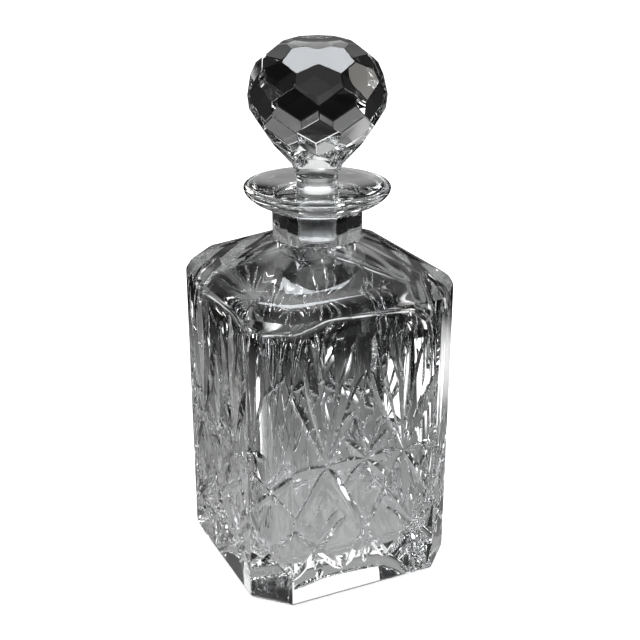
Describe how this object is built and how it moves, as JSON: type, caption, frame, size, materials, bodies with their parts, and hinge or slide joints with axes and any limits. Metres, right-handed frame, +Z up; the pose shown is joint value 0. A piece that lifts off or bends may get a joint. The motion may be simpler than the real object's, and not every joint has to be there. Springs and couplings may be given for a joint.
{
  "type": "cut crystal decanter",
  "caption": "Square crystal decanter with canted corners, wheel-cut fans, spears and diamonds, a wide dished lip, and a faceted ball stopper whose ground plug lifts out of the neck.",
  "frame": {"origin": "centre of the foot, on the surface the decanter stands on", "axes": "+Z up along the bottle's axis, +X and +Y out of two of its wide faces"},
  "size_m": [0.096, 0.096, 0.2305],
  "materials": {
    "bottle_crystal": "polished colourless lead crystal, wheel-cut and acid polished",
    "stopper_crystal": "polished colourless lead crystal with flat cut facets; the plug is ground matt where it seats"
  },
  "bodies": {
    "bottle": {"bottle": "bottle_crystal"},
    "stopper": {"stopper": "stopper_crystal"}
  },
  "joints": [
    {"name": "stopper_lift", "type": "slide", "parent": "bottle", "child": "stopper", "axis": [0, 0, 1], "range_m": [0, 0.034]}
  ]
}
